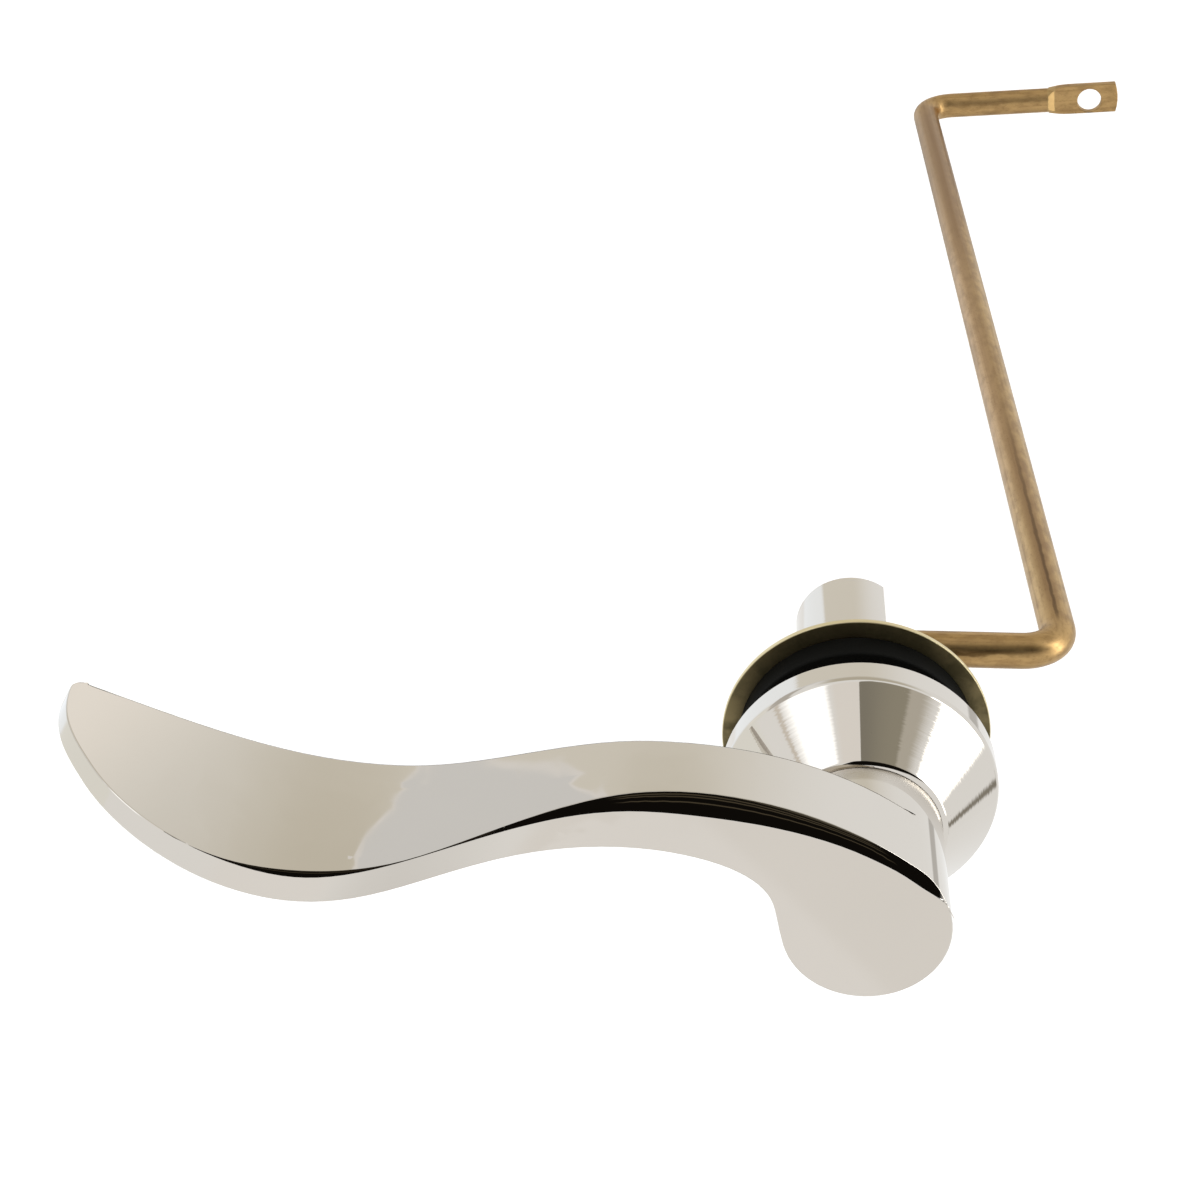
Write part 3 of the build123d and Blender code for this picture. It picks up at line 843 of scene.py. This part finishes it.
def facetSides(piece):  # end points of the edges along the top and the bottom of the facet
    shape = readShape(piece)
    upper, lower = [], []
    for edge in shape.edges:
        if len(edge.link_faces) == 2 and facetEdge(edge):
            other = [face for face in edge.link_faces if not onFacet(face)]
            if other:
                ends = [vertex.co.copy() for vertex in edge.verts]
                (lower if other[0].normal.y < handleSpec["facetTurn"][0] else upper).append(ends)
    shape.free()
    return upper, lower


def gapTo(spot, side):  # shortest distance from a point to one side of the facet
    gaps = []
    for start, end in side:
        near, share = intersect_point_line(spot, start, end)
        gaps.append((spot - (start if share < 0 else end if share > 1 else near)).length)
    return min(gaps)


def shareOf(value, start, end):  # 0 at the start, 1 at the end
    return min(1.0, max(0.0, (value - start) / (end - start)))


def roundFacet(piece, upper, lower):  # rounds the facet's edges in proportion to its width
    shape = readShape(piece)
    widths = {}
    for edge in shape.edges:
        if outer(edge) and facetEdge(edge):
            spot = middle(edge)
            share = shareOf(spot.x, *handleSpec["facetStart"])
            widths[edge.index] = share * max(gapTo(spot, upper), gapTo(spot, lower))
    shape.free()
    weights = piece.data.attributes.new("bevel_weight_edge", "FLOAT", "EDGE")
    for index, width in widths.items():
        weights.data[index].value = min(1.0, width / handleSpec["facetFull"])
    onlySelect(piece)
    rounding = piece.modifiers.new("facetRounding", "BEVEL")
    rounding.limit_method = "WEIGHT"
    rounding.width = handleSpec["facetEdge"]
    rounding.segments = 3
    bpy.ops.object.modifier_apply(modifier="facetRounding")
    piece.data.attributes.remove(piece.data.attributes["bevel_weight_edge"])
    print(piece.name, "facet edges rounded:", len(widths))


def buildHandle():
    piece = copyNode("handle", "handleCasting")
    upper, lower = facetSides(piece)
    back = handleSpec["backEdge"]
    lean = Vector((0, 1, 1)).normalized()

    def sharpEdge(edge):
        return bend(edge) > handleSpec["edgeBend"]

    def backEdge(edge):
        flat = all(abs(vertex.co.y - back["depth"]) < planeSlack for vertex in edge.verts)
        return flat and sharpEdge(edge) and max(face.normal.z for face in edge.link_faces) > back["rise"]

    def plainEdge(edge):
        return sharpEdge(edge) and not facetEdge(edge)

    def crownFacet(face, spot, normal):  # leans the facet's normals up at its top and down at its bottom
        if not facetLike(face.normal, face.center):
            return normal
        rising, falling = handleSpec["facetCrown"]
        falling *= 1.0 - shareOf(spot.x, *handleSpec["facetEnd"])
        tilt = rising if gapTo(spot, upper) < gapTo(spot, lower) else falling
        return (normal + lean * math.tan(math.radians(tilt))).normalized()

    roundEdges(piece, back["width"], backEdge, segments=4)
    roundFacet(piece, upper, lower)
    roundEdges(piece, handleSpec["edge"], plainEdge)
    smoothLike(piece, "handle", crownFacet)
    fitPiece(piece, "handle", "handleNickel")


buildHandle()


# Escutcheon: rounded mouth, cone edge and back edge, and a lip that closes up to the neck

escutcheonSpec = {
    "mouth": {"radius": 0.01355, "depth": -0.01495, "width": 0.00056},
    "coneEdge": {"radius": 0.022225, "depth": -0.0048, "width": 0.00062},
    "backEdge": {"radius": 0.022225, "depth": 0.0, "width": 0.0003},
}
ringSlack = 0.00004  # how far off its radius a ring's point may lie
lipSpec = {
    "behind": -0.0145,
    "cone": 0.01395,
    "shift": (0.0003, 0.000351),
    "start": 0.01342,
    "depth": -0.014874,
    "bore": 0.01295,
    "lip": 0.01274,
    "slope": 0.364,
}


def fromSpindle(spot):
    return math.hypot(spot.x, spot.z)


def flareMouth(piece):  # runs the cone a little further and closes the mouth up to the neck
    inward, forward = lipSpec["shift"]
    start = lipSpec["start"] - inward
    share = (start - lipSpec["lip"]) / (lipSpec["start"] - lipSpec["bore"])
    for vertex in piece.data.vertices:
        reach = fromSpindle(vertex.co)
        if vertex.co.y > lipSpec["behind"] or reach > lipSpec["cone"]:
            continue
        moved = reach - inward
        depth = vertex.co.y - forward
        if vertex.co.y < lipSpec["depth"] and reach < lipSpec["start"]:
            moved = lipSpec["lip"] + (reach - lipSpec["bore"]) * share
            depth = lipSpec["depth"] - forward - (start - moved) * lipSpec["slope"]
        vertex.co = (vertex.co.x * moved / reach, depth, vertex.co.z * moved / reach)


def buildEscutcheon():
    piece = copyNode("escutcheon", "coneEscutcheon")

    def pointOnRing(spot, ring):
        onRadius = abs(fromSpindle(spot) - ring["radius"]) < ringSlack
        return onRadius and abs(spot.y - ring["depth"]) < planeSlack

    for ring in escutcheonSpec.values():
        def onRing(edge, ring=ring):
            return all(pointOnRing(vertex.co, ring) for vertex in edge.verts)
        roundEdges(piece, ring["width"], onRing, segments=8)
    flareMouth(piece)
    smoothLike(piece, "escutcheon")
    fitPiece(piece, "escutcheon", "latheNickel")


buildEscutcheon()


# Arm socket: rounded end

socketSpec = {"end": 0.0479, "width": 0.0003, "least": 0.0054}


def buildSocket():
    piece = copyNode("arm_socket", "armSocket")

    def pointOnEnd(spot):  # on the end face, away from its middle
        return abs(spot.y - socketSpec["end"]) < planeSlack and fromSpindle(spot) > socketSpec["least"]

    def endEdge(edge):
        return all(pointOnEnd(vertex.co) for vertex in edge.verts)

    roundEdges(piece, socketSpec["width"], endEdge, segments=4)
    smoothLike(piece, "arm_socket")
    fitPiece(piece, "arm_socket", "latheNickel")


buildSocket()


# Rod: rounded edges on its flattened end, and each point's place along and across it

rodSpec = {
    "nearCorner": (0.037, 0.0399, 0.0),
    "lean": 1.9,
    "endTurn": -3.0,
    "endRise": 5.2,
    "flatReach": 0.055,
    "flatBend": 35,
    "flatEdge": 0.00022,
}


def markRod(piece):
    up = Vector((0, 0, 1))
    nearCorner = Vector(rodSpec["nearCorner"])
    lean = math.radians(rodSpec["lean"])
    endTurn = math.radians(rodSpec["endTurn"])
    endRise = math.radians(rodSpec["endRise"])
    flat = math.cos(endRise)
    nearWay = Vector((1, 0, 0))
    longWay = Vector((-math.sin(lean), math.cos(lean), 0))
    endWay = Vector((math.cos(endTurn) * flat, math.sin(endTurn) * flat, math.sin(endRise)))
    farCorner = nearCorner + longWay * rodLength
    places = piece.data.attributes.new("rodPlace", "FLOAT_VECTOR", "POINT")
    for vertex, place in zip(piece.data.vertices, places.data):
        fromNear = vertex.co - nearCorner
        fromFar = vertex.co - farCorner
        if fromNear.dot(nearWay + longWay) < 0:
            way, spot, start = nearWay, fromNear, 0.0
        elif fromFar.dot(longWay + endWay) < 0:
            way, spot, start = longWay, fromNear, 0.0
        else:
            way, spot, start = endWay, fromFar, rodLength
        side = up.cross(way).normalized()
        place.vector = (start + spot.dot(way), spot.dot(side), spot.dot(way.cross(side)))


def buildRod():
    piece = copyNode("arm_rod", "bentRod")

    def flatEdge(edge):
        return bend(edge) > rodSpec["flatBend"] and middle(edge).x > rodSpec["flatReach"]

    roundEdges(piece, rodSpec["flatEdge"], flatEdge)
    smoothLike(piece, "arm_rod")
    markRod(piece)
    fitPiece(piece, "arm_rod", "drawnBrass")


buildRod()


# Washers, nut, screws and spindle: rounded edges all round

smallBend = 25  # degrees between two faces, above which their edge is rounded
smallPieces = {
    "brass_washer": {"name": "brassWasher", "edge": 0.0002, "finish": "washerBrass"},
    "rubber_washer": {"name": "rubberWasher", "edge": 0.0004, "finish": "blackRubber"},
    "lock_nut": {"name": "lockNut", "edge": 0.0002, "finish": "turnedBrass"},
    "end_washer": {"name": "endWasher", "edge": 0.00015, "finish": "whiteNylon"},
    "neck_washer": {"name": "neckWasher", "edge": 0.00015, "finish": "whiteNylon"},
    "spindle": {"name": "spindlePin", "edge": 0.0002, "finish": "turnedBrass"},
    "handle_set_screw": {"name": "handleScrew", "edge": 0.00015, "finish": "screwSteel"},
    "socket_set_screw": {"name": "socketScrew", "edge": 0.00012, "finish": "screwSteel"},
    "arm_set_screw": {"name": "rodScrew", "edge": 0.00012, "finish": "screwSteel"},
}


def buildSmallPiece(nodeName):
    spec = smallPieces[nodeName]
    piece = copyNode(nodeName, spec["name"])
    roundEdges(piece, spec["edge"], lambda edge: bend(edge) > smallBend)
    smoothLike(piece, nodeName)
    fitPiece(piece, nodeName, spec["finish"])


for smallNode in smallPieces:
    buildSmallPiece(smallNode)


# Shank: collar from the CAD node, with a turned thread behind it

shankSpec = {
    "pitch": 0.0016,
    "depth": 0.0008,
    "crest": 0.12,  # shares of the pitch where the crest ends, the root begins and the root ends
    "root": (0.48, 0.64),
    "radius": 0.0075,
    "start": 0.0045,
    "end": 0.026,
    "bore": 0.0048125,
    "drill": {"length": 0.06, "middle": 0.015, "sides": 72},
    "lead": 2,  # turns wound in front of the thread's start, and spare turns at its end
    "steps": 48,
    "merge": 0.000001,
    "sunk": 0.0003,  # how far the thread runs on into the collar
    "joint": 0.0001,  # how far behind the thread's start the collar is cut
    "collarEdge": 0.0002,
    "collarReach": 0.001,
    "sharp": 25,  # degrees between two faces, above which their edge stays sharp
}


def cutAcross(piece, depth, keepBehind):  # cuts square to the axis, keeps one side and closes it
    onlySelect(piece)
    bpy.ops.object.mode_set(mode="EDIT")
    bpy.ops.mesh.select_all(action="SELECT")
    bpy.ops.mesh.bisect(plane_co=(0, depth, 0), plane_no=(0, 1, 0), use_fill=True,
                        clear_inner=keepBehind, clear_outer=not keepBehind)
    bpy.ops.object.mode_set(mode="OBJECT")


def windThread():
    pitch = shankSpec["pitch"]
    crest = shankSpec["radius"]
    root = crest - shankSpec["depth"]
    rootStart, rootEnd = shankSpec["root"]
    outline = [(crest, 0.0), (crest, shankSpec["crest"]), (root, rootStart), (root, rootEnd), (crest, 1.0)]
    first = shankSpec["start"] - shankSpec["lead"] * pitch
    mesh = bpy.data.meshes.new("shankThread")
    mesh.from_pydata([(radius, first + part * pitch, 0) for radius, part in outline],
                     [(number, number + 1) for number in range(len(outline) - 1)], [])
    thread = bpy.data.objects.new("shankThread", mesh)
    bpy.context.scene.collection.objects.link(thread)
    onlySelect(thread)
    screw = thread.modifiers.new("winding", "SCREW")
    screw.axis = "Y"
    screw.screw_offset = pitch
    screw.iterations = math.ceil((shankSpec["end"] - first) / pitch) + shankSpec["lead"]
    screw.steps = shankSpec["steps"]
    screw.render_steps = shankSpec["steps"]
    screw.use_merge_vertices = True
    screw.merge_threshold = shankSpec["merge"]
    bpy.ops.object.modifier_apply(modifier="winding")
    return thread


def buildThread():
    thread = windThread()
    cutAcross(thread, shankSpec["start"] - shankSpec["sunk"], True)
    cutAcross(thread, shankSpec["end"], False)
    onlySelect(thread)
    bpy.ops.object.mode_set(mode="EDIT")
    bpy.ops.mesh.select_all(action="SELECT")
    bpy.ops.mesh.remove_doubles(threshold=shankSpec["merge"])
    bpy.ops.mesh.normals_make_consistent(inside=False)
    bpy.ops.object.mode_set(mode="OBJECT")

    # bore for the spindle
    drillSpec = shankSpec["drill"]
    bpy.ops.object.select_all(action="DESELECT")
    bpy.ops.mesh.primitive_cylinder_add(vertices=drillSpec["sides"], radius=shankSpec["bore"],
                                        depth=drillSpec["length"], location=(0, drillSpec["middle"], 0),
                                        rotation=(math.radians(90), 0, 0))
    drill = bpy.context.object
    onlySelect(thread)
    cut = thread.modifiers.new("bore", "BOOLEAN")
    cut.object = drill
    cut.operation = "DIFFERENCE"
    cut.solver = "EXACT"
    bpy.ops.object.modifier_apply(modifier="bore")
    bpy.data.objects.remove(drill)
    return thread


def buildShank():
    piece = copyNode("threaded_shank", "threadedShank")
    collarEnd = shankSpec["start"] + shankSpec["collarReach"]

    def collarEdge(edge):
        return bend(edge) > smallBend and middle(edge).y < collarEnd

    roundEdges(piece, shankSpec["collarEdge"], collarEdge)
    smoothLike(piece, "threaded_shank")
    thread = buildThread()
    cutAcross(piece, shankSpec["start"] + shankSpec["joint"], False)
    bpy.ops.object.select_all(action="DESELECT")
    thread.select_set(True)
    piece.select_set(True)
    bpy.context.view_layer.objects.active = piece
    bpy.ops.object.join()
    onlySelect(piece)
    bpy.ops.object.shade_smooth_by_angle(angle=math.radians(shankSpec["sharp"]))
    fitPiece(piece, "threaded_shank", "turnedBrass")


buildShank()
print("pieces ready")
